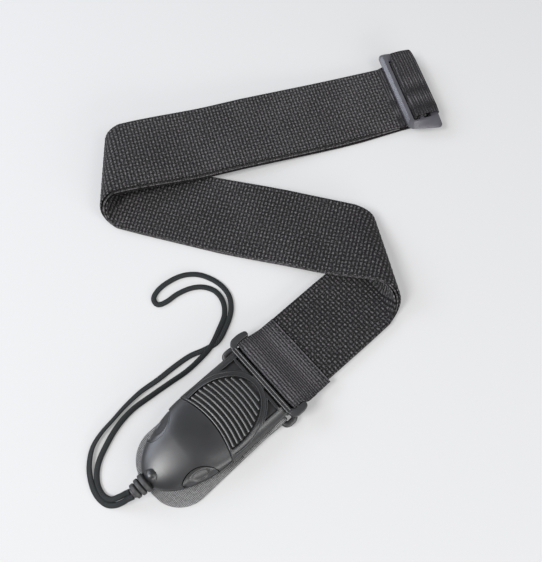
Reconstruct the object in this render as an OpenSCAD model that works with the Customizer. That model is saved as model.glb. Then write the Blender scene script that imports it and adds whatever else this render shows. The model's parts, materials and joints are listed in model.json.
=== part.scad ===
// Guitar strap, folded in three and lying flat, with a quick-release buckle, a hand-cord loop,
// a three-bar slider, an end ring and a leather end tab.  Millimetres, +Z up, table at z = 0.
// The webbing is one long strip.  It is drawn as spans: the buckle span lies on top of run 1,
// the return span in the middle and the ring span at the bottom; each fold turns the stack over.

/* [Webbing] */
// width of the webbing
strap_w = 50; // [38:1:52]
// thickness of one layer
strap_t = 1.5; // [1.2:0.1:1.8]
// air between stacked layers
layer_gap = 0.3; // [0.3:0.05:0.5]
// height of the open loop at each fold
fold_h = 20; // [17:0.5:24]

/* [Slider] */
// length of the slider across the webbing
slider_w = 65; // [60:1:68]
// length of the slider along the webbing
slider_l = 23; // [20:0.5:26]
// thickness of the slider's bars
slider_t = 3.2; // [2.4:0.1:4]

/* [End ring and tab] */
// diameter of the end ring's rod
ring_rod = 3; // [2.4:0.1:3.4]
// width of the leather tab
tab_w = 51; // [44:1:54]
// thickness of the leather
tab_t = 1.9; // [1.4:0.1:2.2]
// diameter of the button hole in the tab
tab_hole = 9; // [7:0.5:12]

/* [Buckle] */
// width of the buckle body
buckle_w = 48.6; // [46:0.2:50]
// height of the dome above the table
dome_z = 19.5; // [17:0.5:22]
// wall thickness of the socket
wall = 2; // [1.6:0.1:2.4]
// number of ribs on the grip
ribs = 11; // [8:1:12]

/* [Cord] */
// diameter of the hand cord
cord_d = 3; // [2.4:0.2:3.4]

/* [View] */
// which piece to draw

/* [Hidden] */
$fn = 48;
e = 0.01;
pitch = strap_t + layer_gap;
half = strap_w / 2;

// headings of the three runs, seen from above, and the two creases that join them
head_1 = 196.8;
head_2 = 346;
head_3 = 221.7;
crease_l = (head_1 + head_2) / 2;
crease_r = (head_2 + head_3) / 2;
shift = [-2.2, -18, 0];

slider_at = [99.6, 143.8];
fold_l_at = -104.5;
fold_r_at = 66.5;
mid_run_at = [-50, 50.7];
ring_at = [-1, -63.3];
slider_zone = 16;
ring_zone = 14;

function unit(a) = [cos(a), sin(a)];
function left(a) = [-sin(a), cos(a)];
// where a line through p with heading a meets the line of points q with q * n = d
function meet(p, a, n, d) = p + unit(a) * (d - p * n) / (unit(a) * n);

n_l = left(crease_l);
n_r = left(crease_r);
c_l = meet(mid_run_at, head_2, n_l, [fold_l_at, 64.3] * n_l);
c_r = meet(mid_run_at, head_2, n_r, fold_r_at);
t_l = meet(slider_at, head_1, n_l, [fold_l_at, 64.3] * n_l);
b_r = meet(ring_at, head_3, n_r, fold_r_at);

// rounded polyline and a strip of even thickness along it
function arc_pts(b, u, v, r, n = 4) =
  let (th = acos(min(1, max(-1, u * v))), d = r * tan((180 - (180 - th)) / 2),
       p = b - u * d, q = b + v * d,
       s = (u[0] * v[1] - u[1] * v[0]) > 0 ? 1 : -1,
       c = p + s * r * [-u[1], u[0]])
  [for (i = [0:n]) let (a = s * th * i / n, w = p - c)
    c + [w[0] * cos(a) - w[1] * sin(a), w[0] * sin(a) + w[1] * cos(a)]];
function dirn(p) = p / norm(p);
function rounded(p, r, n = 4) = [
  p[0],
  for (i = [1:len(p) - 2])
    let (u = dirn(p[i] - p[i - 1]), v = dirn(p[i + 1] - p[i]))
      if (u * v > 0.9995) p[i] else each arc_pts(p[i], u, v, r, n),
  p[len(p) - 1]];
function side(p, t) = [for (i = [0:len(p) - 1])
  let (u = dirn(p[min(i + 1, len(p) - 1)] - p[min(i, len(p) - 2)]),
       v = dirn(p[max(i, 1)] - p[max(i - 1, 0)]), w = dirn(u + v), k = u * w)
    p[i] + [-w[1], w[0]] * t / k];
function backward(p) = [for (i = [len(p) - 1:-1:0]) p[i]];
module strip(p, t) { polygon(concat(side(p, -t / 2), backward(side(p, t / 2)))); }

// a side profile in X-Z drawn out along Y
module across(w) { rotate([90, 0, 0]) linear_extrude(w, center = true) children(); }
module at_slider() { translate([slider_at[0], slider_at[1], 0]) rotate([0, 0, head_1 - 180]) children(); }
module at_ring() { translate([ring_at[0], ring_at[1], 0]) rotate([0, 0, head_3]) children(); }

// one run: heights lo(h) along h from the fold, cut to a plan outline
module run(at, turn, lo, up, plan) {
  intersection() {
    translate([at[0], at[1], up]) rotate([0, 0, turn])
      across(600) polygon(concat(lo, backward([for (q = lo) q + [0, strap_t]])));
    translate([0, 0, -1]) linear_extrude(60) polygon(plan);
  }
}

// height of the underside of the stack against distance from the fold
rise = fold_h - 2 * pitch - strap_t;
rest = 3 * pitch + 0.2;
function ease(a, b, k) = a + (b - a) * k * k * (3 - 2 * k);
leg_1 = [for (k = [0:8]) [68 * k / 8, ease(rise, rest, k / 8)]];
low_1 = concat([[-4, rise]], leg_1, [[85, 5], [110, 3.1], [135, 1.2], [155, 0], [240, 0]]);
leg_2 = [for (k = [0:6]) [40 * k / 6, ease(rise, rest, k / 6)]];
low_2 = concat([[-4, rise]], leg_2, [[55, 4.4], [75, 2], [95, 0], [230, 0]]);

function edge(p, a, w) = p + left(a) * w;
// plan outline of a stretch of webbing that starts and ends on slanting lines
function plan_run(p, ap, q, aq, h) = let (n = left(h)) [
  slant(p, h, half, ap), slant(q, h, half, aq), slant(q, h, -half, aq), slant(p, h, -half, ap)];
function slant(p, h, w, a) = meet(p + left(h) * w, h, left(a), p * left(a));

plan_1a = plan_run(t_l, crease_l, slider_at - unit(head_1 - 180) * slider_zone, head_1 + 90, head_1);
plan_1c = plan_run(t_l, crease_l, slider_at + unit(head_1 - 180) * 8, head_1 + 90, head_1);
plan_2 = plan_run(c_l, crease_l, c_r, crease_r, head_2);
plan_3 = plan_run(b_r, crease_r, ring_at - unit(head_3) * ring_zone, head_3 + 90, head_3);

// one layer of a fold: a half tube about the crease, cut to the slanting edges of the webbing
module fold(at_top, head_top, at_low, head_low, crease, out, k) {
  r = fold_h / 2 - k * pitch;
  mid = (at_top + at_low) / 2 + out * left(crease) * (fold_h / 2 + 1);
  module outline(p, h) {
    a1 = slant(p, h, half, crease);
    a2 = slant(p, h, -half, crease);
    m1 = slant(mid, h, half, crease);
    m2 = slant(mid, h, -half, crease);
    polygon([a1, m1, m2, a2]);
  }
  intersection() {
    translate([at_top[0], at_top[1], fold_h / 2]) rotate([0, 0, crease])
      rotate([90, 0, 0]) rotate([0, 90, 0]) translate([0, 0, -200]) difference() {
        cylinder(r = r, h = 400);
        translate([0, 0, -1]) cylinder(r = r - strap_t, h = 402);
      }
    union() {
      translate([0, 0, fold_h / 2]) linear_extrude(30) outline(at_top, head_top);
      translate([0, 0, -1]) linear_extrude(fold_h / 2 + 1) outline(at_low, head_low);
    }
  }
}

webbing = [0.16, 0.16, 0.17];
module buckle_span_run_1() { color(webbing) run(t_l, crease_l + 90, low_1, 2 * pitch, plan_1a); }
module return_span_run_1() { color(webbing) run(t_l, crease_l + 90, low_1, pitch, plan_1a); }
module ring_span_run_1() { color(webbing) run(t_l, crease_l + 90, low_1, 0, plan_1c); }
module buckle_span_run_2() { color(webbing) run(c_r, crease_r - 90, low_2, 0, plan_2); }
module return_span_run_2() { color(webbing) run(c_r, crease_r - 90, low_2, pitch, plan_2); }
module ring_span_run_2() { color(webbing) run(c_r, crease_r - 90, low_2, 2 * pitch, plan_2); }
flat = [[-60, 0], [300, 0]];
module buckle_span_run_3() { color(webbing) run(b_r, crease_r - 90, flat, 2 * pitch, plan_3); }
module return_span_run_3() { color(webbing) run(b_r, crease_r - 90, flat, pitch, plan_3); }
module ring_span_run_3() { color(webbing) run(b_r, crease_r - 90, flat, 0, plan_3); }
module buckle_span_fold_left() { color(webbing) fold(t_l, head_1, c_l, head_2, crease_l, -1, 0); }
module return_span_fold_left() { color(webbing) fold(t_l, head_1, c_l, head_2, crease_l, -1, 1); }
module ring_span_fold_left() { color(webbing) fold(t_l, head_1, c_l, head_2, crease_l, -1, 2); }
module buckle_span_fold_right() { color(webbing) fold(c_r, head_2, b_r, head_3, crease_r, 1, 2); }
module return_span_fold_right() { color(webbing) fold(c_r, head_2, b_r, head_3, crease_r, 1, 1); }
module ring_span_fold_right() { color(webbing) fold(c_r, head_2, b_r, head_3, crease_r, 1, 0); }

// ---- slider: the buckle span weaves over its bars and turns back as the ring span ----
bar_z = 8.8;
bar_lo = bar_z - slider_t / 2;
loop_r = 3.6;
weave = rounded([[-slider_zone, 2 * pitch + strap_t / 2], [-14, 2 * pitch + strap_t / 2], [-11, 6.2], [-6.2, 6.2],
                 [-4.75, 8], [-4.75, 13.5], [4, 13.5], [9.5, 12.6], [12.8, 12.2], [12.8, strap_t / 2],
                 [8, strap_t / 2]], 1.6, 3);
module slider_weave() { color(webbing) at_slider() across(strap_w) strip(weave, strap_t); }

module slider_sewn_loop() {
  color(webbing) at_slider() across(strap_w - 0.6) difference() {
    union() {
      translate([0, bar_z]) circle(loop_r);
      polygon([[-slider_zone, pitch], [-9, pitch], [-1, bar_z - loop_r + 0.1], [0.5, bar_z - loop_r + 0.1],
               [-2.6, 6.6], [-5.2, 5.15], [-9, 4.9], [-13, 3.4], [-slider_zone, pitch + strap_t]]);
    }
    translate([0, bar_z]) circle(2.1);
  }
}

module stitch_row(n, step, size) {
  for (i = [0:n - 1]) translate([0, (i - (n - 1) / 2) * step, 0]) cube(size, center = true);
}
thread = [0.10, 0.10, 0.11];
// rows of thread through the tail of the loop sewn round the slider's middle bar
module slider_stitching() {
  color(thread) at_slider() for (x = [-11.7, -10.2]) translate([x, 0, 4.9 + (x + 9) * 0.375 + 0.17])
    rotate([0, -20.556, 0]) stitch_row(14, 3.4, [0.6, 2.4, 0.3]);
}

plastic = [0.14, 0.14, 0.15];
module rod(r, l) { rotate([90, 0, 0]) cylinder(r = r, h = l, center = true); }
module bar(x0, x1, l) { translate([(x0 + x1) / 2, 0, bar_z]) cube([x1 - x0, l, slider_t], center = true); }
module rounded_plate(l, w, r) {
  square([l - 2 * r, w], center = true);
  square([l, w - 2 * r], center = true);
  for (x = [-1, 1], y = [-1, 1]) translate([x * (l / 2 - r), y * (w / 2 - r)]) circle(r);
}
module slider_frame() {
  color(plastic) at_slider() {
    translate([0, 0, bar_lo]) linear_extrude(slider_t) difference() {
      rounded_plate(slider_l, slider_w, 3);
      square([slider_l - 10.2, strap_w + 2.4], center = true);
    }
    translate([0, 0, bar_z]) rod(1.8, strap_w + 3);
  }
}

// ---- ring end: the ring span loops round the end ring and comes back as the return span ----
rod_z = strap_t + 0.7 + ring_rod / 2;
rod_a = 5;
rod_b = 13.5;
loop_b = rod_z - strap_t / 2;
ring_fall = [[-ring_zone, pitch + strap_t / 2], [-13, pitch + strap_t / 2], [-10, pitch + strap_t / 2 + 0.6], [rod_a - 1.2, 2 * rod_z - strap_t / 2],
             [rod_a + loop_b, 2 * rod_z - strap_t / 2], [rod_a + loop_b, strap_t / 2], [-ring_zone, strap_t / 2]];
module ring_webbing_loop() { color(webbing) at_ring() across(strap_w) strip(rounded(ring_fall, loop_b * 0.98, 8), strap_t); }

pin_z = 10.4;
pin_r = 1.7;
loop_a = pin_r + 0.3 + strap_t / 2;
sewn = concat([[-ring_zone, 2 * pitch + strap_t / 2], [-13, 2 * pitch + strap_t / 2], [-11, 2 * pitch + strap_t / 2 + 0.5]],
  rounded([[0, pin_z - loop_a - 0.05], [loop_a, pin_z - loop_a], [loop_a, pin_z + loop_a], [-4, pin_z + loop_a],
           [-13, 3 * pitch + strap_t / 2 + 0.6], [-18, 3 * pitch + strap_t / 2], [-25, 3 * pitch + strap_t / 2]],
          loop_a * 0.98, 6));
module buckle_sewn_loop() { color(webbing) at_ring() across(strap_w + 1.4) strip(sewn, strap_t); }
module buckle_stitching() {
  color(thread) at_ring() for (x = [-23, -20]) translate([x, 0, 3 * pitch + strap_t + 0.2])
    stitch_row(15, 3.3, [0.6, 2.4, 0.4]);
}

// ---- end ring: a rounded rectangle of round rod ----
ring_v = 28.8;
ring_c = 3.2;
metal = [0.2, 0.2, 0.21];
module at_tab() { at_ring() translate([0, 0.8, 0]) rotate([0, 0, 1.2]) children(); }
module end_ring() {
  s0 = rod_a; s1 = rod_b; r = ring_rod / 2;
  color(metal) at_tab() translate([0, 0, rod_z]) {
    for (s = [s0, s1]) translate([s, 0, 0]) rod(r, 2 * (ring_v - ring_c));
    for (v = [-1, 1]) translate([(s0 + s1) / 2, v * ring_v, 0]) rotate([0, 90, 0])
      cylinder(r = r, h = s1 - s0 - 2 * ring_c, center = true);
    for (q = [[s0, -1, 180], [s1, -1, 270], [s1, 1, 0], [s0, 1, 90]])
      translate([q[0] + (q[0] == s0 ? ring_c : -ring_c), q[1] * (ring_v - ring_c), 0])
        rotate([0, 0, q[2]]) rotate_extrude(angle = 90) translate([ring_c, 0]) circle(r);
  }
}

// ---- leather tab: folded round the far rod and sewn down, with a button hole near its round end ----
leather = [0.22, 0.22, 0.22];
tab_end = 97;
tab_loop = rod_z - tab_t / 2;
tab_path = rounded([[44, 1.5 * tab_t + 0.2], [25, 1.5 * tab_t + 0.2], [rod_b + 3, 2 * rod_z - tab_t / 2],
                    [rod_b - tab_loop, 2 * rod_z - tab_t / 2], [rod_b - tab_loop, tab_t / 2], [rod_b + 3, tab_t / 2],
                    [tab_end, tab_t / 2]], tab_loop * 0.98, 8);
hole_s = 84;
module tab_outline() {
  r = 21;
  square([tab_end - r, tab_w / 2]);
  translate([0, -tab_w / 2]) square([tab_end - r, tab_w / 2]);
  translate([tab_end - r - e, -(tab_w / 2 - r)]) square([r, tab_w - 2 * r]);
  for (y = [-1, 1]) translate([tab_end - r, y * (tab_w / 2 - r)]) circle(r, $fn = 72);
}
module end_tab() {
  color(leather) at_tab() difference() {
    intersection() {
      across(tab_w + 4) strip(tab_path, tab_t);
      translate([0, 0, -1]) linear_extrude(12) tab_outline();
    }
    translate([hole_s, 0, -1]) cylinder(d = tab_hole, h = 12);
    translate([hole_s - 14, -0.6, -1]) cube([14, 1.2, 12]);
  }
}
module tab_stitching() {
  color(thread) at_tab() for (x = [28, 40]) translate([x, 0, 2 * tab_t + 0.35]) stitch_row(13, 3.4, [0.7, 2.4, 0.3]);
}

// ---- buckle: plug half ----
split_z = 11;
base_z = 4.7;
seam_at = 104.8;
seam_r = 60;
bw = buckle_w / 2;
grip_h = 1.4;
module plug_side() {
  polygon([[7, 8.2], [7, 12.8], [9, 13.4], [20, 14.6], [34, 15.9], [52, 16.6], [52, base_z], [28, base_z], [22, 8.2]]);
}
module arch(m) {
  // bullet-shaped patch that carries the ribs, m is its margin
  difference() {
    translate([40, 0]) scale([28.5 + m, 20.6 + m]) circle(1, $fn = 96);
    translate([seam_at, 0]) circle(seam_r + 1.2 - m, $fn = 160);
  }
}
module plug_frame() {
  color(plastic) at_ring() {
    translate([0, 0, pin_z]) rod(pin_r, 2 * bw + 4);
    for (v = [-1, 1]) intersection() {
      translate([0, 0, pin_z - 2.2]) linear_extrude(4.4) translate([0, v * 25.6]) circle(4.9);
      translate([-6, v > 0 ? 26.2 : -40, 0]) cube([12, 13.8, 30]);
    }
    for (v = [-1, 1]) translate([2, v * 28.3 - 2.1, pin_z - 2.2]) cube([4, 4.2, 4.4]);
    difference() {
      intersection() {
        across(2 * bw) plug_side();
        linear_extrude(40) difference() {
          translate([4, -bw]) square([60, 2 * bw]);
          translate([seam_at, 0]) circle(seam_r, $fn = 160);
        }
      }
      // seat of the ribbed insert and the two corner recesses
      translate([0, 0, 14.6]) linear_extrude(10) arch(0.25);
      for (v = [-1, 1]) translate([0, 0, 12]) linear_extrude(10)
        polygon([[9.2, v * 3.2], [9.2, v * 20.5], [20.5, v * 20.5], [14, v * 14]]);
    }
    translate([4.9, -28, pin_z - 2.2]) cube([2.8, 56, 4.4]);
  }
}
module grip_insert() {
  color([0.12, 0.12, 0.13]) at_ring() translate([0, 0, 14.75]) difference() {
    linear_extrude(2.2) arch(0);
    for (i = [0:ribs - 1]) let (r = seam_r + 2.4 + i * 2.9)
      intersection() {
        translate([0, 0, 1]) linear_extrude(4) translate([40, 0]) scale([26.3, 18.9]) circle(1, $fn = 96);
        translate([seam_at, 0, 0]) difference() {
          cylinder(r = r + 0.8, h = 6, $fn = 160);
          translate([0, 0, -1]) cylinder(r = r - 0.8, h = 8, $fn = 160);
        }
      }
  }
}
module guide_tongue() {
  color(plastic) at_ring() difference() {
    translate([45.1, -5, 8]) cube([26, 10, 3]);
    translate([62, 0, 0]) cylinder(r = 2.2, h = 30);
  }
}

// ---- buckle: sprung prongs with the side buttons ----
pivot = [49.4, 18.3];
scoop_at = [72.5, 27];
scoop_r = 14;
nose = [47, 94];
module nose_plan(m) { translate([nose[0], 0]) scale([nose[1] - nose[0] - m, bw - m]) circle(1, $fn = 96); }
module prong() {
  intersection() {
    translate([0, 0, 6.9]) linear_extrude(5.6) difference() {
      union() {
        translate(pivot) circle(1.3);
        translate([pivot[0], pivot[1] - 1.3]) square([13, 2.6]);
        translate(scoop_at) circle(scoop_r - 0.4);
      }
      translate([67.5, 28.5]) circle(5.5);
    }
    linear_extrude(40) union() {
      nose_plan(0.2);
      translate([40, 0]) square([21, 21]);
    }
    // the front of the button is an arc about the pivot, so it clears the shell when pressed
    translate([pivot[0], pivot[1], 0]) cylinder(r = 30.4, h = 40, $fn = 96);
  }
}
module prong_left() { color(plastic) at_ring() mirror([0, 1, 0]) prong(); }
module prong_right() { color(plastic) at_ring() prong(); }

// ---- buckle: socket half, a dome over a tray ----
module socket_plan(m) {
  difference() {
    union() {
      translate([40, -bw + m]) square([7 + e, 2 * (bw - m)]);
      intersection() { nose_plan(m); translate([47, -40]) square([60, 80]); }
    }
    translate([seam_at, 0]) difference() { circle(seam_r * 2, $fn = 8); circle(seam_r - 0.35, $fn = 160); }
  }
}
module crown(m) {
  // the dome's outer form less m: an arch across and a long curve down to the nose
  intersection() {
    translate([0, 0, dome_z - 52.2]) rotate([0, 90, 0]) cylinder(r = 52.2 - m, h = 120, $fn = 160);
    union() {
      translate([30, -40, -20]) cube([38, 80, 60]);
      translate([68, 0, dome_z - 42]) rod(42 - m, 80, $fn = 160);
    }
    across(80) polygon([[30, 0], [30, 16], [46, 17.4 - m], [64, dome_z + 0.6 - m], [120, dome_z + 2], [120, 0]]);
  }
}
module scoops(z) {
  for (v = [-1, 1]) translate([scoop_at[0], v * scoop_at[1], z]) cylinder(r = scoop_r, h = 40, $fn = 72);
}
module nose_hole() { translate([80, 0, split_z]) rotate([0, 90, 0]) cylinder(r = 3.3, h = 30); }
module socket_upper() {
  color(plastic) at_ring() difference() {
    intersection() {
      translate([0, 0, split_z + 0.1]) linear_extrude(20) socket_plan(0);
      crown(0);
    }
    intersection() {
      translate([0, 0, 5]) linear_extrude(30) socket_plan_inner();
      crown(wall);
    }
    scoops(-5);
    nose_hole();
  }
}
module socket_plan_inner() {
  intersection() {
    union() {
      translate([30, -bw + wall]) square([17 + e, 2 * (bw - wall)]);
      intersection() { nose_plan(wall); translate([47, -40]) square([60, 80]); }
    }
    translate([30, -40]) square([61, 80]);
  }
}
module socket_lower() {
  color(plastic) at_ring() difference() {
    translate([0, 0, base_z]) linear_extrude(split_z - base_z) socket_plan(0);
    translate([0, 0, base_z + 1.8]) linear_extrude(30) socket_plan_inner();
    scoops(base_z + 1.8);
    nose_hole();
  }
}

// ---- ribbed strain relief and the crimp behind it ----
module along() { translate([0, 0, split_z]) rotate([0, 90, 0]) children(); }
module cord_boot() {
  color([0.13, 0.13, 0.14]) at_ring() along() {
    translate([0, 0, 82.2]) cylinder(r = 3, h = 21.8);
    translate([0, 0, 94.1]) cylinder(r1 = 6, r2 = 5.8, h = 2.6);
    translate([0, 0, 97.4]) cylinder(r1 = 5.4, r2 = 5.2, h = 2.4);
    translate([0, 0, 100.5]) cylinder(r1 = 4.9, r2 = 4.6, h = 2.6);
  }
}
module cord_anchor() { color(metal) at_ring() along() translate([0, 0, 76]) cylinder(r = 3.4, h = 6); }

// ---- hand cord: both ends leave the strain relief and the loop lies on the table ----
cord_route = [
  [-78.1, -134, 11], [-81.5, -135.3, 9.2], [-85, -137, 6], [-90, -138.6, 2.8], [-95.5, -138.1, 1.5],
  [-101, -133.8, 1.5], [-105, -126.8, 1.5], [-107.3, -117.3, 1.5], [-106.5, -106.8, 1.5],
  [-102, -98, 1.5], [-95.5, -90, 1.5], [-88.5, -81.5, 1.5], [-80, -73, 1.5], [-70, -65.5, 1.5],
  [-60.5, -57.5, 1.5], [-51, -50.5, 1.5], [-42, -46.4, 1.5], [-34, -41.4, 1.5], [-29.3, -33, 1.5],
  [-25.9, -22, 1.5], [-26.7, -12, 1.5], [-31.4, -4.5, 1.5], [-38.8, 0.9, 1.5], [-48.3, 4.2, 1.5],
  [-58.3, 3.4, 1.5], [-67.3, -1.2, 1.5], [-73.5, -6.8, 1.5], [-76, -12.6, 1.5], [-73, -16.6, 1.5],
  [-67.5, -14.6, 1.5], [-60.8, -9.4, 1.5], [-52.3, -5.4, 1.5], [-43.8, -4.6, 1.5], [-35.8, -7.8, 1.5],
  [-30.9, -14.8, 1.5], [-29.9, -23.8, 1.5], [-33.1, -33.4, 1.5], [-37.9, -44.4, 1.5],
  [-44.5, -52.6, 1.5], [-52.5, -60.4, 1.5], [-62.5, -67.6, 1.5], [-73.5, -75.6, 1.5], [-84, -83.6, 1.5],
  [-92, -93, 1.5], [-98, -104, 1.5], [-102.2, -115.6, 1.5], [-102, -125.6, 1.5], [-98.4, -132.6, 1.6],
  [-92.9, -135.5, 2.8], [-87.4, -134, 5.2], [-83.9, -132.6, 7.8], [-80.4, -131.4, 11]];
function knot(i) = cord_route[max(0, min(len(cord_route) - 1, i))];
function along_route(u) = let (i = floor(u), k = u - i, a = knot(i - 1), b = knot(i), c = knot(i + 1), d = knot(i + 2))
  0.5 * (2 * b + (c - a) * k + (2 * a - 5 * b + 4 * c - d) * k * k + (3 * b - a - 3 * c + d) * k * k * k);
module hand_cord() {
  n = 78;
  m = len(cord_route) - 1;
  sides = 8;
  pts = [for (i = [0:n]) let (u = m * i / n, p = along_route(u),
      q = along_route(min(m, u + 0.05)) - along_route(max(0, u - 0.05)), t = q / norm(q),
      s = dirn([t[1], -t[0], 0]), w = cross(s, t))
    for (j = [0:sides - 1]) let (a = 360 * (j + 0.5) / sides) p + (s * cos(a) + w * sin(a)) * cord_d / 2 / cos(180 / sides)];
  faces = concat([[for (j = [sides - 1:-1:0]) j]], [[for (j = [0:sides - 1]) n * sides + j]],
    [for (i = [0:n - 1], j = [0:sides - 1]) let (a = i * sides + j, b = i * sides + (j + 1) % sides)
      [a, b, b + sides, a + sides]]);
  color([0.08, 0.09, 0.10]) polyhedron(pts, faces);
}

module draw() { translate(shift) children(); }
draw() {
  buckle_span_run_1();
  return_span_run_1();
  ring_span_run_1();
  buckle_span_fold_left();
  return_span_fold_left();
  ring_span_fold_left();
  buckle_span_run_2();
  return_span_run_2();
  ring_span_run_2();
  buckle_span_fold_right();
  return_span_fold_right();
  ring_span_fold_right();
  buckle_span_run_3();
  return_span_run_3();
  ring_span_run_3();
  slider_weave();
  slider_sewn_loop();
  slider_stitching();
  slider_frame();
  ring_webbing_loop();
  buckle_sewn_loop();
  buckle_stitching();
  end_ring();
  end_tab();
  tab_stitching();
  plug_frame();
  grip_insert();
  guide_tongue();
  prong_left();
  prong_right();
  socket_upper();
  socket_lower();
  cord_boot();
  cord_anchor();
  hand_cord();
}
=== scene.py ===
"""Looks for the folded guitar strap: materials, camera and hand cord, woven webbing, slider, end ring
and leather tab, buckle, then floor and light.

Lengths inside the shape functions are millimetres in the plan frame that the part's source uses;
Mesh.build(), plate() and lace() turn them into metres in the row's frame.
"""

import json
import math

import bmesh
import bpy
import numpy as np
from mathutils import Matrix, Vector


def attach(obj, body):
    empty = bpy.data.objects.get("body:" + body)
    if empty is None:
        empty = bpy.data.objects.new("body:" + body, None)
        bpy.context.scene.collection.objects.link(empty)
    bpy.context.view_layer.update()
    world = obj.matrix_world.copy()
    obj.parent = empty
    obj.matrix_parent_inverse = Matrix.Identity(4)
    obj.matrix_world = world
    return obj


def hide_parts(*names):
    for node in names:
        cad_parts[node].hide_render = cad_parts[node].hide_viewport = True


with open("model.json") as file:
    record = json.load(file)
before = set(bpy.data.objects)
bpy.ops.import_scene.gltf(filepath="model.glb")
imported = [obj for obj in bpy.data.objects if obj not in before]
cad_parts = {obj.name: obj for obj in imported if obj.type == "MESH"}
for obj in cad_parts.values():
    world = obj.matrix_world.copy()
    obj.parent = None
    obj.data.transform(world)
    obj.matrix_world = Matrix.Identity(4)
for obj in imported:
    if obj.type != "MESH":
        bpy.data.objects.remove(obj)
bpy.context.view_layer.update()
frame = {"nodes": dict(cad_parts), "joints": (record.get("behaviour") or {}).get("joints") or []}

MM = 0.001
JOINTS = {j["name"]: j for j in frame["joints"]}


def new_object(name, data):
    made = bpy.data.objects.new(name, data)
    bpy.context.scene.collection.objects.link(made)
    return made


# ---- plan frame
def unit(deg):
    return np.array([math.cos(math.radians(deg)), math.sin(math.radians(deg))])


def left(deg):
    return unit(deg + 90)


RING_AT = np.array([-1.0, -63.3])
HEAD_1, HEAD_2, HEAD_3 = 196.8, 346.0, 221.7
CREASE_L = (HEAD_1 + HEAD_2) / 2
CREASE_R = (HEAD_2 + HEAD_3) / 2
SHIFT = np.array(JOINTS["buckle_swing"]["pos_m"][:2]) / MM - RING_AT
SLIDER_AT = np.array(JOINTS["slider_tilt"]["pos_m"][:2]) / MM - SHIFT
MID_RUN_AT = np.array([-50.0, 50.7])

# The cloth's thickness, the spacing of its layers, a fold's height and half the drawn width.
WEB_T = 1.5
PITCH = 1.8
FOLD_H = 20.0
HALF_W = 25.7


def meet(p, heading, normal, distance):
    """Where a line through p with that heading meets the line of points q with q . normal = distance."""
    return p + unit(heading) * (distance - p @ normal) / (unit(heading) @ normal)


N_L, N_R = left(CREASE_L), left(CREASE_R)
FOLD_L_AT = np.array([-104.5, 64.3]) @ N_L
FOLD_R_AT = 66.5
TOP_L = meet(SLIDER_AT, HEAD_1, N_L, FOLD_L_AT)
LOW_L = meet(MID_RUN_AT, HEAD_2, N_L, FOLD_L_AT)
TOP_R = meet(MID_RUN_AT, HEAD_2, N_R, FOLD_R_AT)
LOW_R = meet(RING_AT, HEAD_3, N_R, FOLD_R_AT)


def in_frame(origin, heading, points):
    """Points (along, across, height) in a turned frame, as plan points."""
    p = np.asarray(points, float)
    xy = origin + p[..., 0:1] * unit(heading) + p[..., 1:2] * left(heading)
    return np.concatenate([xy, p[..., 2:3]], axis=-1)


def at_ring(points):
    return in_frame(RING_AT, HEAD_3, points)


def at_tab(points):
    p = np.array(points, float)
    turn = math.radians(1.2)
    s, v = p[..., 0].copy(), p[..., 1].copy()
    p[..., 0] = s * math.cos(turn) - v * math.sin(turn)
    p[..., 1] = 0.8 + s * math.sin(turn) + v * math.cos(turn)
    return at_ring(p)


def at_slider(points):
    return in_frame(SLIDER_AT, HEAD_1 - 180, points)


def smooth(x, a=0.0, b=1.0):
    """0 below a, 1 above b, and a soft step between them."""
    k = np.clip((np.asarray(x, float) - a) / (b - a), 0, 1)
    return k * k * (3 - 2 * k)


def hump(x, at, width):
    """A soft hump of height 1 at a place."""
    return np.exp(-(((x - at) / width) ** 2))


def normals_of(grid):
    """Unit normals of a grid of points."""
    normal = np.cross(np.gradient(grid, axis=0), np.gradient(grid, axis=1))
    return normal / (np.linalg.norm(normal, axis=-1)[..., None] + 1e-12)


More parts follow.
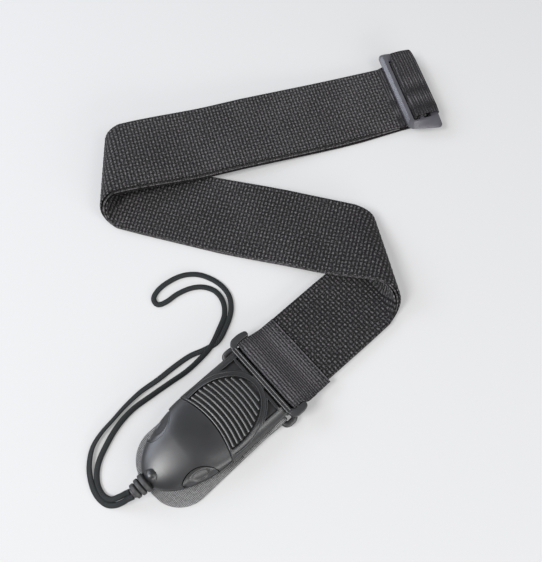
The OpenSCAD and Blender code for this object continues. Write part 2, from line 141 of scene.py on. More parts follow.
# ---- mesh building
class Mesh:
    """Points and faces of one piece, with the cloth coordinates and relief that its material reads."""

    def __init__(self):
        self.points, self.faces, self.cloth, self.relief = [], [], [], []
        self.count = 0

    def add(self, points, faces, cloth=None, relief=None):
        points = np.asarray(points, float).reshape(-1, 3)
        n = len(points)
        self.points.append(points)
        self.cloth.append(np.zeros((n, 3)) if cloth is None else np.asarray(cloth, float).reshape(n, 3))
        self.relief.append(np.full(n, 0.5) if relief is None else np.asarray(relief, float).reshape(n))
        self.faces += [[i + self.count for i in f] for f in faces]
        self.count += n
        return self

    def grid(self, points, around=False, flip=False, caps=False):
        """A grid of points, rows along and columns across; around joins the last column to the first."""
        rows, cols = points.shape[:2]
        last = cols if around else cols - 1
        faces = []
        for i in range(rows - 1):
            for j in range(last):
                a, b = i * cols + j, i * cols + (j + 1) % cols
                quad = [a, b, b + cols, a + cols]
                faces.append(quad[::-1] if flip else quad)
        if caps:
            first, end = list(range(cols)), list(range((rows - 1) * cols, rows * cols))
            faces += [first, end[::-1]] if flip else [first[::-1], end]
        return self.add(points, faces)

    def slab(self, top, low):
        """A closed solid between two grids of the same shape."""
        rows, cols = top.shape[:2]
        n = rows * cols
        faces = []
        for i in range(rows - 1):
            for j in range(cols - 1):
                a = i * cols + j
                faces.append([a, a + 1, a + cols + 1, a + cols])
                faces.append([n + a, n + a + cols, n + a + cols + 1, n + a + 1])
        border = [j for j in range(cols)] + [i * cols + cols - 1 for i in range(1, rows)]
        border += [(rows - 1) * cols + j for j in range(cols - 2, -1, -1)]
        border += [i * cols for i in range(rows - 2, 0, -1)]
        for a, b in zip(border, border[1:] + border[:1]):
            faces.append([b, a, n + a, n + b])
        return self.add(np.concatenate([top.reshape(-1, 3), low.reshape(-1, 3)]), faces)

    def build(self, name, material, body, nodes=(), slot=None, smooth_deg=40):
        points = np.concatenate(self.points)
        points[:, :2] += SHIFT
        data = bpy.data.meshes.new(name)
        data.from_pydata((points * MM).tolist(), [], self.faces)
        for key, kind, values in (("cloth", "FLOAT_VECTOR", self.cloth), ("relief", "FLOAT", self.relief)):
            attribute = data.attributes.new(key, kind, "POINT")
            field = "vector" if kind == "FLOAT_VECTOR" else "value"
            attribute.data.foreach_set(field, np.concatenate(values).astype(np.float32).ravel())
        return finish_piece(data, name, material, body, nodes, smooth_deg)


def finish_piece(data, name, material, body, nodes=(), smooth_deg=40):
    data.materials.append(material)
    shape = bmesh.new()
    shape.from_mesh(data)
    bmesh.ops.remove_doubles(shape, verts=shape.verts, dist=1e-6)
    bmesh.ops.recalc_face_normals(shape, faces=shape.faces)
    shape.to_mesh(data)
    shape.free()
    piece = new_object(name, data)
    data.shade_smooth()
    data.set_sharp_from_angle(angle=math.radians(smooth_deg))
    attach(piece, body)
    if nodes:
        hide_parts(*nodes)
    return piece


def rounded_path(corners, radius, steps=6):
    """A 2-D polyline with its corners rounded."""
    corners = [np.array(c, float) for c in corners]
    path = [corners[0]]
    for a, b, c in zip(corners, corners[1:], corners[2:]):
        u, v = (a - b) / np.linalg.norm(a - b), (c - b) / np.linalg.norm(c - b)
        reach = min(radius, 0.49 * np.linalg.norm(a - b), 0.49 * np.linalg.norm(c - b))
        for k in np.linspace(0, 1, steps + 1):
            path.append(b + u * reach * (1 - k) ** 2 + v * reach * k**2)
    path.append(corners[-1])
    return np.array(path)


def resample(path, step):
    """The same polyline with points about step apart, and the length at each."""
    path = np.asarray(path, float)
    run = np.concatenate([[0], np.cumsum(np.linalg.norm(np.diff(path, axis=0), axis=1))])
    at = np.linspace(0, run[-1], max(2, int(round(run[-1] / step)) + 1))
    return np.stack([np.interp(at, run, path[:, k]) for k in range(path.shape[1])], axis=1), at


def tube(mesh, path, section, closed=False, side=None):
    """Sweeps a section of (across, up) offsets along a path of plan points; section may be one per point."""
    path = np.asarray(path, float)
    ahead = np.roll(path, -1, 0) - np.roll(path, 1, 0)
    if not closed:
        ahead[0], ahead[-1] = path[1] - path[0], path[-1] - path[-2]
    ahead /= np.linalg.norm(ahead, axis=1)[:, None]
    across = np.stack([ahead[:, 1], -ahead[:, 0], np.zeros(len(path))], axis=1) if side is None else side
    across /= np.linalg.norm(across, axis=1)[:, None]
    up = np.cross(across, ahead)
    section = np.asarray(section, float)
    if section.ndim == 2:
        section = np.repeat(section[None], len(path), 0)
    rings = path[:, None] + section[..., 0:1] * across[:, None] + section[..., 1:2] * up[:, None]
    if closed:
        rings = np.concatenate([rings, rings[:1]])
    mesh.grid(rings, around=True, caps=not closed)
    return mesh


def circle(r, n=16):
    a = np.arange(n) * 2 * math.pi / n
    return np.stack([r * np.cos(a), r * np.sin(a)], axis=1)


def flat_oval(a, b, n=20, power=2.6):
    """A superellipse with half axes a and b."""
    t = np.arange(n) * 2 * math.pi / n
    c, s = np.cos(t), np.sin(t)
    return np.stack([a * np.sign(c) * abs(c) ** (2 / power), b * np.sign(s) * abs(s) ** (2 / power)], axis=1)


def lathe(mesh, centre, profile, place, n=40):
    """Turns a profile of (along, radius) about a line through centre along the buckle."""
    a = np.arange(n) * 2 * math.pi / n
    rings = [[[s, centre[1] + r * math.cos(t), centre[2] + r * math.sin(t)] for t in a] for s, r in profile]
    mesh.grid(place(np.array(rings)), around=True, caps=True)
    return mesh


def plate(name, loops, low, high, bevel, material, body, nodes=(), place=at_ring):
    """A flat part with rounded edges, from an outline and its holes."""
    curve = bpy.data.curves.new(name + "_outline", "CURVE")
    curve.dimensions, curve.fill_mode = "2D", "BOTH"
    curve.extrude = ((high - low) / 2 - bevel) * MM
    curve.bevel_depth, curve.bevel_resolution, curve.offset = bevel * MM, 3, -bevel * MM
    for loop in loops:
        flat = np.concatenate([np.asarray(loop, float), np.zeros((len(loop), 1))], axis=1)
        points = place(flat)
        spline = curve.splines.new("POLY")
        spline.points.add(len(points) - 1)
        for target, p in zip(spline.points, points):
            target.co = ((p[0] + SHIFT[0]) * MM, (p[1] + SHIFT[1]) * MM, 0, 1)
        spline.use_cyclic_u = True
    holder = new_object(name + "_outline", curve)
    holder.location.z = (low + high) / 2 * MM
    bpy.context.view_layer.update()
    data = bpy.data.meshes.new_from_object(holder.evaluated_get(bpy.context.evaluated_depsgraph_get()))
    data.transform(holder.matrix_world)
    data.materials.clear()
    data.name = name
    bpy.data.objects.remove(holder)
    bpy.data.curves.remove(curve)
    return finish_piece(data, name, material, body, nodes)


def cut_out(piece, *cutters, sharp_deg=None):
    """Takes closed meshes away from a piece, and finds its sharp edges again if an angle is given."""
    for cutter in cutters:
        knife = cutter.build("cutter", piece.data.materials[0], "strap")
        hole = piece.modifiers.new("cut", "BOOLEAN")
        hole.object, hole.solver = knife, "EXACT"
        bpy.context.view_layer.objects.active = piece
        bpy.ops.object.modifier_apply(modifier="cut")
        bpy.data.objects.remove(knife)
    if sharp_deg:
        piece.data.shade_smooth()
        piece.data.set_sharp_from_angle(angle=math.radians(sharp_deg))


def prism(loop, low, high, place=at_ring):
    """A closed upright block over a plan outline."""
    flat = np.array([[a, b, 0] for a, b in loop])
    return Mesh().grid(place(np.stack([flat + [0, 0, low], flat + [0, 0, high]])), around=True, caps=True)


def arc(centre, radius, start, end, n=10):
    a = np.radians(np.linspace(start, end, n))
    return [[centre[0] + radius * math.cos(t), centre[1] + radius * math.sin(t)] for t in a]


def rounded_box(x0, x1, y0, y1, r, n=6):
    return (
        arc((x1 - r, y1 - r), r, 0, 90, n)
        + arc((x0 + r, y1 - r), r, 90, 180, n)
        + arc((x0 + r, y0 + r), r, 180, 270, n)
        + arc((x1 - r, y0 + r), r, 270, 360, n)
    )


# ---- materials
def node_material(name, base, roughness, **sockets):
    """A Principled material and a helper that adds nodes to its tree."""
    material = bpy.data.materials.new(name)
    material.use_nodes = True
    tree = material.node_tree
    shader = tree.nodes["Principled BSDF"]
    shader.inputs["Base Color"].default_value = (*base, 1)
    shader.inputs["Roughness"].default_value = roughness
    for key, value in sockets.items():
        shader.inputs[key.replace("_", " ")].default_value = value

    def add(kind, inputs=None, **settings):
        made = tree.nodes.new("ShaderNode" + kind)
        for key, value in settings.items():
            setattr(made, key, value)
        for key, value in (inputs or {}).items():
            socket = made.inputs[key]
            if isinstance(value, bpy.types.NodeSocket):
                tree.links.new(value, socket)
            else:
                socket.default_value = value
        return made

    return material, tree, shader, add


def ramp(add, factor, stops):
    """A colour ramp through (position, colour) stops."""
    made = add("ValToRGB", {"Fac": factor})
    elements = made.color_ramp.elements
    while len(elements) < len(stops):
        elements.new(0.5)
    for element, (position, colour) in zip(elements, stops):
        element.position, element.color = position, (*colour, 1)
    return made.outputs["Color"]


def join_surface(tree, shader, add, colour, height, strength, distance):
    """Gives the shader its colour, and a bump that follows the height."""
    tree.links.new(colour, shader.inputs["Base Color"])
    bump = add("Bump", {"Height": height, "Strength": strength, "Distance": distance})
    tree.links.new(bump.outputs["Normal"], shader.inputs["Normal"])


def webbing_material(name, dark, light, coarse=1.0, fade=0.0):
    """Woven webbing: the relief attribute carries the floats of the weave, noise varies the yarns, and
    the strap is painted paler near the slider and darker towards the ring (fade), a painted shade for how the
    light falls on its runs."""
    material, tree, shader, add = node_material(name, dark, 0.8, Specular_IOR_Level=0.12)
    cloth = add("Attribute", attribute_name="cloth").outputs["Vector"]
    relief = add("Attribute", attribute_name="relief").outputs["Fac"]
    speck = add("TexNoise", {"Vector": cloth, "Scale": 1.0 * coarse, "Detail": 2.0, "Roughness": 0.8})
    patch = add("TexNoise", {"Vector": cloth, "Scale": 0.035, "Detail": 2.0})
    fibre = add("TexNoise", {"Vector": cloth, "Scale": 5.0, "Detail": 3.0})
    lift = add("Math", {0: speck.outputs["Fac"], 1: 2.8, 2: -1.4}, operation="MULTIPLY_ADD")
    tint = add("Math", {0: patch.outputs["Fac"], 1: 0.24, 2: -0.12}, operation="MULTIPLY_ADD")
    along = add("SeparateXYZ", {"Vector": cloth}).outputs["X"]
    # painted shade: the strip is painted paler near the slider and darker towards the ring, for how the light
    # falls on its runs
    painted_shade = add("MapRange", {"Value": along, 1: 0.0, 2: 420.0, 3: fade / 2, 4: -fade / 2}).outputs[0]
    patches_and_shade = add("Math", {0: tint.outputs[0], 1: painted_shade}, operation="ADD")
    specks_and_shade = add("Math", {0: lift.outputs[0], 1: patches_and_shade.outputs[0]}, operation="ADD")
    total = add("Math", {0: relief, 1: specks_and_shade.outputs[0]}, operation="ADD")
    middle = tuple(0.72 * d + 0.28 * l for d, l in zip(dark, light))
    # the colour follows the weave's relief: bead tops lighter and hollows darker, partly yarn tone and partly
    # a painted highlight on the tops and painted shade in the hollows
    colour = ramp(add, total.outputs[0], [(0.10, dark), (0.5, middle), (1.0, light)])
    height = add("Math", {0: relief, 1: fibre.outputs["Fac"], 2: 0.0}, operation="MULTIPLY_ADD")
    join_surface(tree, shader, add, colour, height.outputs[0], 0.5, 0.0002)
    shader.inputs["Sheen Weight"].default_value = 0.03
    shader.inputs["Sheen Roughness"].default_value = 0.5
    return material


def plastic_material(name, base, roughness, grain=0.25, scale=2600.0):
    """Moulded plastic: a fine spark-eroded grain, faint flow marks and rub wear."""
    material, tree, shader, add = node_material(name, base, roughness, Specular_IOR_Level=0.5)
    where = add("TexCoord").outputs["Object"]
    fine = add("TexNoise", {"Vector": where, "Scale": scale, "Detail": 2.0})
    cloud = add("TexNoise", {"Vector": where, "Scale": 45.0, "Detail": 4.0, "Roughness": 0.6})
    rough = add("MapRange", {"Value": cloud.outputs["Fac"], 3: roughness - 0.05, 4: roughness + 0.08})
    tree.links.new(rough.outputs[0], shader.inputs["Roughness"])
    stops = [(at, tuple(share * c for c in base)) for at, share in ((0.3, 0.85), (0.75, 1.3))]
    colour = ramp(add, cloud.outputs["Fac"], stops)
    join_surface(tree, shader, add, colour, fine.outputs["Fac"], grain, 0.00006)
    return material


def leather_material(name):
    """Tab leather pressed with a fine cross-woven grain."""
    material, tree, shader, add = node_material(name, (0.05, 0.05, 0.05), 0.7, Specular_IOR_Level=0.3)
    where = add("TexCoord").outputs["Object"]
    turn = add("Mapping", {"Vector": where, "Rotation": (0, 0, math.radians(-HEAD_3))})
    wave = {"Vector": turn.outputs[0], "Scale": 330.0, "Distortion": 1.5, "Detail": 1.0}
    lines, rows = (add("TexWave", wave, bands_direction=axis) for axis in "XY")
    weave = add("Math", {0: lines.outputs["Fac"], 1: rows.outputs["Fac"]}, operation="MULTIPLY")
    cloud = add("TexNoise", {"Vector": where, "Scale": 900.0, "Detail": 3.0})
    mix = add("Math", {0: weave.outputs[0], 1: cloud.outputs["Fac"]}, operation="ADD")
    stops = [(0.35, (0.035, 0.035, 0.036)), (0.8, (0.11, 0.11, 0.112)), (1.0, (0.20, 0.20, 0.20))]
    join_surface(tree, shader, add, ramp(add, mix.outputs[0], stops), mix.outputs[0], 0.5, 0.0002)
    return material


def braid_material(name):
    """Flat braided lace: diagonal plaits along its length."""
    material, tree, shader, add = node_material(name, (0.006, 0.007, 0.008), 0.6, Specular_IOR_Level=0.22)
    cloth = add("Attribute", attribute_name="cloth").outputs["Vector"]
    flip = add("Mapping", {"Vector": cloth, "Scale": (1, -1, 1)})
    one, two = (
        add("TexWave", {"Vector": where, "Scale": 0.42, "Distortion": 0.4}, bands_direction="DIAGONAL")
        for where in (cloth, flip.outputs[0])
    )
    plait = add("Math", {0: one.outputs["Fac"], 1: two.outputs["Fac"]}, operation="MULTIPLY")
    colour = ramp(add, plait.outputs[0], [(0.0, (0.003, 0.004, 0.0045)), (0.7, (0.010, 0.0125, 0.013))])
    join_surface(tree, shader, add, colour, plait.outputs[0], 0.7, 0.00025)
    return material


# fade paints the strip paler near the slider and darker towards the ring, a painted shade
WEBBING = webbing_material("webbing_weave", (0.0034, 0.0032, 0.0035), (0.100, 0.095, 0.098), fade=0.18)
SEWN = webbing_material("webbing_dense", (0.006, 0.0057, 0.0063), (0.095, 0.090, 0.095), coarse=1.4)
THREAD = braid_material("thread")
PLASTIC = plastic_material("moulded_plastic", (0.0105, 0.0108, 0.0118), 0.34)
SLIDER_PLASTIC = plastic_material("slider_plastic", (0.052, 0.051, 0.060), 0.22)
RUBBER = plastic_material("boot_rubber", (0.018, 0.018, 0.019), 0.55, grain=0.4)
WIRE = plastic_material("coated_wire", (0.012, 0.012, 0.013), 0.4)
LEATHER = leather_material("tab_leather")
LACE = braid_material("lace_braid")

# ---- camera
# The view that was fitted to the photo: degrees, metres, and a lens in millimetres for the sensor.
VIEW_ELEVATION = 70.0
VIEW_DISTANCE = 0.415
VIEW_LENS, SENSOR_W = 42.04, 36.0
target = np.array([SHIFT[0] * MM, SHIFT[1] * MM, 0.0])
camera_data = bpy.data.cameras.new("camera")
camera = new_object("camera", camera_data)
camera_data.sensor_fit = "HORIZONTAL"
camera_data.sensor_width = SENSOR_W
camera_data.lens = VIEW_LENS
camera_data.clip_start, camera_data.clip_end = 0.02, 20.0
camera.location = target + VIEW_DISTANCE * np.array(
    [0, -math.cos(math.radians(VIEW_ELEVATION)), math.sin(math.radians(VIEW_ELEVATION))]
)
camera.rotation_euler = (math.radians(90 - VIEW_ELEVATION), 0, 0)
bpy.context.scene.camera = camera

# ---- hand cord
# The route of the doubled lace, in the plan frame: out of the strain relief, up beside the buckle,
# round the loop and back.  The part's source has the same points.
CORD_ROUTE = [
    (-78.1, -134, 11), (-81.5, -135.3, 9.2), (-85, -137, 6), (-90, -138.6, 2.8), (-95.5, -138.1, 1.5),
    (-101, -133.8, 1.5), (-105, -126.8, 1.5), (-107.3, -117.3, 1.5), (-106.5, -106.8, 1.5),
    (-102, -98, 1.5), (-95.5, -90, 1.5), (-88.5, -81.5, 1.5), (-80, -73, 1.5), (-70, -65.5, 1.5),
    (-60.5, -57.5, 1.5), (-51, -50.5, 1.5), (-42, -46.4, 1.5), (-34, -41.4, 1.5), (-29.3, -33, 1.5),
    (-25.9, -22, 1.5), (-26.7, -12, 1.5), (-31.4, -4.5, 1.5), (-38.8, 0.9, 1.5), (-48.3, 4.2, 1.5),
    (-58.3, 3.4, 1.5), (-67.3, -1.2, 1.5), (-73.5, -6.8, 1.5), (-76, -12.6, 1.5), (-73, -16.6, 1.5),
    (-67.5, -14.6, 1.5), (-60.8, -9.4, 1.5), (-52.3, -5.4, 1.5), (-43.8, -4.6, 1.5), (-35.8, -7.8, 1.5),
    (-30.9, -14.8, 1.5), (-29.9, -23.8, 1.5), (-33.1, -33.4, 1.5), (-37.9, -44.4, 1.5), (-44.5, -52.6, 1.5),
    (-52.5, -60.4, 1.5), (-62.5, -67.6, 1.5), (-73.5, -75.6, 1.5), (-84, -83.6, 1.5), (-92, -93, 1.5),
    (-98, -104, 1.5), (-102.2, -115.6, 1.5), (-102, -125.6, 1.5), (-98.4, -132.6, 1.6),
    (-92.9, -135.5, 2.8), (-87.4, -134, 5.2), (-83.9, -132.6, 7.8), (-80.4, -131.4, 11),
]
LACE_W, LACE_T = 3.5, 1.7
ROUTE_Z = 1.5  # the route's height where it lies on the table


def spline(points, per_span=6):
    """A Catmull-Rom curve through the points."""
    p = np.asarray(points, float)
    p = np.concatenate([p[:1], p, p[-1:]])
    out = []
    for a, b, c, d in zip(p, p[1:], p[2:], p[3:]):
        for k in np.arange(per_span) / per_span:
            cubic = 3 * b - a - 3 * c + d
            out.append(0.5 * (2 * b + (c - a) * k + (2 * a - 5 * b + 4 * c - d) * k**2 + cubic * k**3))
    return np.array(out + [p[-1]])


def lace():
    centre, along = resample(spline(CORD_ROUTE), 1.0)
    total = along[-1]
    # The lace lies flat and rolls on edge in two places, as a lace does.
    share = along / total
    roll = np.radians(48 * hump(share, 0.16, 0.07) + 40 * hump(share, 0.78, 0.09))
    half = np.abs(np.sin(roll)) * LACE_W / 2 + np.cos(roll) * LACE_T / 2
    centre[:, 2] += half - ROUTE_Z
    oval = flat_oval(LACE_W / 2, LACE_T / 2, 16, 2.8)
    c, s = np.cos(roll)[:, None], np.sin(roll)[:, None]
    section = np.stack([oval[:, 0] * c - oval[:, 1] * s, oval[:, 0] * s + oval[:, 1] * c], axis=-1)
    mesh = Mesh()
    tube(mesh, centre, section)
    round_ = np.linspace(0, 2 * (LACE_W + LACE_T), 16, endpoint=False)
    cloth = np.stack(np.broadcast_arrays(along[:, None], round_[None], np.zeros((1, 1))), axis=-1)
    mesh.cloth = [cloth.reshape(-1, 3)]
    piece = mesh.build("hand_cord_lace", LACE, "socket", ["hand_cord"], "cord")


lace()

# ---- webbing
BEAD = 2.6
RIB = 2.33
RELIEF = 0.34


def weave(x, y, rib=RIB, bead=BEAD):
    """Height from 0 to 1 of the weave: ribs across the strap, each a row of long beads, with high
    and low beads in turn."""
    j = np.round(y / bead)
    v = y / bead - j
    i = np.round(x / rib + 0.10 * v)
    u = x / rib + 0.10 * v - i
    tall = 0.86 + 0.14 * np.cos(math.pi * (i + j))
    return tall * (0.5 + 0.5 * np.cos(2 * math.pi * u)) * (1 - (2 * np.abs(v)) ** 2.4 * 0.8)


def far_drop(c, share):
    """How much of its full height a fold has at c along its crease: the far end is pinched."""
    return 1 - share * smooth(-c, -14.0, 30.0)


def rise(h, g, places, heights):
    """A run's height above its layer at h from its fold: a steep part as far as the first place, then
    slopes through the heights at the other places."""
    top = FOLD_H * g - 2 * PITCH - WEB_T
    low = 3 * PITCH + 0.2
    near = places[0]
    return np.where(h < near, top + (low - top) * smooth(h / near), np.interp(h, places, [low, *heights]))


# How much lower each fold is at its far end, as a share of its height.
PINCH_L, PINCH_R = 0.18, 0.42


def strip_surface(layer_l, layer_r):
    """The middle surface of one span: flat runs joined by half turns about the two creases."""
    dir_l, dir_r = unit(CREASE_L), unit(CREASE_R)

    def turn(plan, at_top, normal, crease, side, k, pinch, shift_c):
        """Plan points that pass the fold axis go round it and come back below."""
        rel = plan - at_top
        h, c = side * (rel @ normal), rel @ crease
        g = far_drop(c, pinch)
        nominal = FOLD_H / 2 - k * PITCH - WEB_T / 2
        radius = FOLD_H / 2 * g - k * PITCH - WEB_T / 2
        angle = np.clip(-h / nominal, 0, math.pi)
        beyond = np.clip(-h - math.pi * nominal, 0, None)
        c = c + shift_c * angle / math.pi
        reach = nominal * (1 + 0.35 * (1 - g))
        out = np.where(h > 0, h, 0) - np.where(h < 0, reach * np.sin(angle), 0) + beyond
        moved = at_top + side * out[..., None] * normal + c[..., None] * crease
        z = FOLD_H / 2 * g + radius * np.cos(angle)
        return moved, z, h, beyond, g

    slope_l = (unit(HEAD_1) @ dir_l) / abs(unit(HEAD_1) @ N_L)
    slope_r = (unit(HEAD_2) @ dir_r) / abs(unit(HEAD_2) @ N_R)
    r_l = FOLD_H / 2 - layer_l * PITCH - WEB_T / 2
    r_r = FOLD_H / 2 - layer_r * PITCH - WEB_T / 2
    fix_l = (LOW_L - TOP_L) @ dir_l - math.pi * r_l * slope_l
    fix_r = (LOW_R - TOP_R) @ dir_r - math.pi * r_r * slope_r

    def surface(x, y):
        plan = SLIDER_AT + x[..., None] * unit(HEAD_1) + y[..., None] * left(HEAD_1)
        p1, z1, h1, past_l, g1 = turn(plan, TOP_L, N_L, dir_l, 1, layer_l, PINCH_L, fix_l)
        slope_1 = rise(np.clip(h1, 0, None), g1, [68, 85, 110, 135, 155], [5, 3.1, 1.2, 0])
        z_run_1 = slope_1 + (2 - layer_l) * PITCH + WEB_T / 2
        p2, z2, h2, past_r, g2 = turn(p1, TOP_R, N_R, dir_r, -1, layer_r, PINCH_R, fix_r)
        slope_2 = rise(np.clip(h2, 0, None), g2, [40, 55, 75, 95], [4.4, 2, 0])
        z_run_2 = slope_2 + layer_l * PITCH + WEB_T / 2
        z_run_3 = layer_r * PITCH + WEB_T / 2
        z = np.where(h1 > 0, z_run_1, z1)
        run_2 = past_l > 0
        z = np.where(run_2, z_run_2, z)
        z = np.where(run_2 & (h2 < 0), z2, z)
        z = np.where(run_2 & (past_r > 0), z_run_3, z)
        plan = np.where(run_2[..., None], p2, p1)
        return np.concatenate([plan, z[..., None]], axis=-1), h1, past_l, h2, past_r

    return surface


def ribbon(mesh, middle, x, y, thick, face=1, relief=RELIEF, cell=(RIB, BEAD), back_cols=9):
    """A strip of cloth about a middle surface.  One face carries the weave, the other is plain and
    has fewer columns; both share the rounded selvedges."""
    gx, gy = np.meshgrid(x, y, indexing="ij")
    mid = middle(gx, gy)
    normal = normals_of(mid) * face
    edge = abs(y[-1])
    body = np.sqrt(np.clip(1 - np.clip((np.abs(gy) - edge + 0.8) / 0.8, 0, 1) ** 2, 0, 1))
    height = weave(gx, gy, *cell)
    lift = body * (thick / 2 - relief * (1 - height))
    top = mid + normal * lift[..., None]
    rows, cols = gx.shape
    pick = np.unique(np.linspace(1, cols - 2, back_cols).astype(int))
    back = (mid - normal * (body * thick / 2)[..., None])[:, pick]
    points = np.concatenate([top.reshape(-1, 3), back.reshape(-1, 3)])
    cloth = np.stack([gx, gy, np.zeros_like(gx)], axis=-1)

    def both(a):
        return np.concatenate([a.reshape(rows * cols, -1), a[:, pick].reshape(rows * len(pick), -1)])

    faces = []
    for i in range(rows - 1):
        for j in range(cols - 1):
            a = i * cols + j
            faces.append([a, a + 1, a + cols + 1, a + cols])
    lower = [
        [i * cols] + [rows * cols + i * len(pick) + j for j in range(len(pick))] + [i * cols + cols - 1]
        for i in range(rows)
    ]
    for i in range(rows - 1):
        for j in range(len(pick) + 1):
            faces.append([lower[i][j + 1], lower[i][j], lower[i + 1][j], lower[i + 1][j + 1]])
    for i, way in ((0, 1), (rows - 1, -1)):
        loop = [i * cols + j for j in range(cols)] + lower[i][-2:0:-1]
        faces.append(loop[::-way])
    mesh.add(points, faces, both(cloth), both(height[..., None]).ravel())
    return mesh


def columns(half, fine, bead=BEAD):
    """Positions across the strap: four to a bead where the weave shows, few where it's hidden."""
    if not fine:
        inner = np.linspace(-half + 0.9, half - 0.9, 11)
        return np.concatenate([[-half, -half + 0.3], inner, [half - 0.3, half]])
    count = int(half / bead) + 1
    inner = np.concatenate([np.array([-0.5, -0.33, 0, 0.33]) + j for j in range(-count, count + 1)]) * bead
    inner = inner[np.abs(inner) < half - 0.75]
    rim = np.array([0, 0.06, 0.25, 0.5])
    return np.concatenate([-half + rim, inner, (half - rim)[::-1]])


# How far from the slider's and the ring's middle the plain spans stop, and places along a span.
SLIDER_ZONE, RING_ZONE = 16, 14
DRIFT_AT = [14, 45, 150, 215, 270, 330, 430, 470, 520]


def span(name, layer_l, layer_r, start, fine_ranges, face, fine, drift):
    """One span of the strip from the slider to the ring, with its runs and both folds.  The drift is
    how far the layer has slipped sideways at the places in DRIFT_AT."""
    square = strip_surface(layer_l, layer_r)

    def middle(x, y):
        return square(x, y + np.interp(x, DRIFT_AT, drift))

    probe = np.linspace(0, 700, 7001)
    line, _, _, _, past = middle(probe, np.zeros_like(probe))
    reach = (line[:, :2] - RING_AT) @ unit(HEAD_3)
    end = probe[(past > 0) & (reach > -RING_ZONE)][0]
    x = [start]
    while x[-1] < end:
        close = any(a < x[-1] < b for a, b in fine_ranges)
        x.append(x[-1] + (RIB / 4 if close else RIB))
    x[-1] = end
    mesh = Mesh()
    ribbon(mesh, lambda a, b: middle(a, b)[0], np.array(x), columns(HALF_W, fine), WEB_T, face)
    nodes = [f"{name}_{p}" for p in ("run_1", "fold_left", "run_2", "fold_right", "run_3")]
    return mesh.build(name, WEBBING, "strap", nodes, "webbing")


buckle_drift = [0.1, -1.0, -1.1, -0.9, 0.6, 1.1, 0.5, 0, 0]
return_drift = [0.3, 1.0, 0.5, 0.6, 0.9, 0.9, 0.5, 0.4, 0]
ring_drift = [0.8, 1.9, 0.9, 0.9, 0.3, 0.4, 0.3, 0.5, 0]
span("buckle_span", 0, 2, SLIDER_ZONE, [(0, 270), (440, 700)], 1, True, buckle_drift)
span("return_span", 1, 1, SLIDER_ZONE, [], 1, False, return_drift)
span("ring_span", 2, 0, -8.0, [(225, 470)], -1, True, ring_drift)


def strip_along(mesh, path, half, place, face=1, fine=True, cell=(1.9, 1.9), spread=None):
    """A ribbon along a path of (along, height) points, drawn straight across.  spread gives the two
    edges at a point of the path, where the cloth bulges past its plain width."""
    step = cell[0] / 4 if fine else 1.2
    line, at = resample(path, step)

    def middle(gx, gy):
        a = np.interp(gx, at, line[:, 0])
        z = np.interp(gx, at, line[:, 1])
        if spread:
            low, high = spread(a, z)
            gy = low + (high - low) * (gy + half) / (2 * half)
        return place(np.stack([a, gy, z], axis=-1))

    return ribbon(mesh, middle, at, columns(half, fine, cell[1]), WEB_T, face, 0.25, cell)


BAR_Z = 8.8
STACK = 2 * PITCH + WEB_T / 2


def slider_weave():
    """The buckle span goes under the left bar, over the others and back as the ring span."""
    path = rounded_path(
        [(-SLIDER_ZONE, STACK), (-14, STACK), (-11, 6.2), (-6.2, 6.2), (-4.75, 8), (-4.75, 13.3),
         (3, 13.5), (9.5, 12.7), (12.0, 11.8), (12.0, WEB_T / 2), (8, WEB_T / 2)],
        1.7,
    )
    mesh = Mesh()

    def spread(a, z):
        over = smooth(z, 11, 12.6)
        return -25.4 + 0.2 * over, 25.6 + 4.6 * over

    strip_along(mesh, path, HALF_W - 0.2, at_slider, face=-1, spread=spread)
    mesh.build("slider_weave_webbing", SEWN, "strap", ["slider_weave"], "webbing")


def slider_sewn_loop():
    """The return span's end wraps the middle bar and is sewn to itself."""
    wrap = arc((0, BAR_Z), 2.9, 245, -65, 24)
    path = [(-SLIDER_ZONE, PITCH + WEB_T / 2), (-10, PITCH + WEB_T / 2 + 0.2), (-4, 4.6)] + wrap
    mesh = Mesh()
    strip_along(mesh, resample(path, 0.6)[0], HALF_W - 0.4, at_slider, fine=False)
    mesh.build("slider_sewn_webbing", SEWN, "strap", ["slider_sewn_loop"], "webbing")


ROD_Z = WEB_T + 0.7 + 1.5
ROD_A, ROD_B = 5.0, 13.5


def ring_webbing_loop():
    """The ring span turns round the end ring's near rod and goes back as the return span."""
    turn = arc((ROD_A, ROD_Z), ROD_Z - WEB_T / 2, 90, -90, 16)
    path = [(-RING_ZONE, PITCH + WEB_T / 2), (-12.5, PITCH + WEB_T / 2), (-9, 3.4), (1.5, 6.4)] + turn
    path += [(-RING_ZONE, WEB_T / 2)]
    mesh = Mesh()
    strip_along(mesh, resample(path, 0.6)[0], HALF_W - 0.2, at_ring, fine=False)
    mesh.build("ring_loop_webbing", WEBBING, "strap", ["ring_webbing_loop"], "webbing")


PIN_Z, PIN_R = 10.4, 1.7
LOOP_R = PIN_R + 0.3 + WEB_T / 2


def buckle_sewn_loop():
    """The buckle span's end wraps the plug's bar; the folded-back flap is sewn down over it."""
    wrap = arc((0, PIN_Z), LOOP_R, -100, 95, 20)
    flap_z = 3 * PITCH + WEB_T / 2
    path = [(-RING_ZONE, STACK), (-12.5, STACK), (-8, STACK + 1.2), (-2.5, 7.2)] + wrap
    path += [(-4, PIN_Z + LOOP_R - 0.6), (-9, 9.4), (-14, flap_z + 0.3), (-18, flap_z), (-25, flap_z)]
    mesh = Mesh()

    def spread(a, z):
        bulge = smooth(-a, 2, 8)
        return -25.9 + 0.4 * bulge, 25.9 + 2.1 * bulge

    strip_along(mesh, resample(path, 0.5)[0], HALF_W, at_ring, cell=(1.7, 2.2), spread=spread)
    mesh.build("buckle_sewn_webbing", SEWN, "strap", ["buckle_sewn_loop"], "webbing")


slider_weave()
slider_sewn_loop()
ring_webbing_loop()
buckle_sewn_loop()


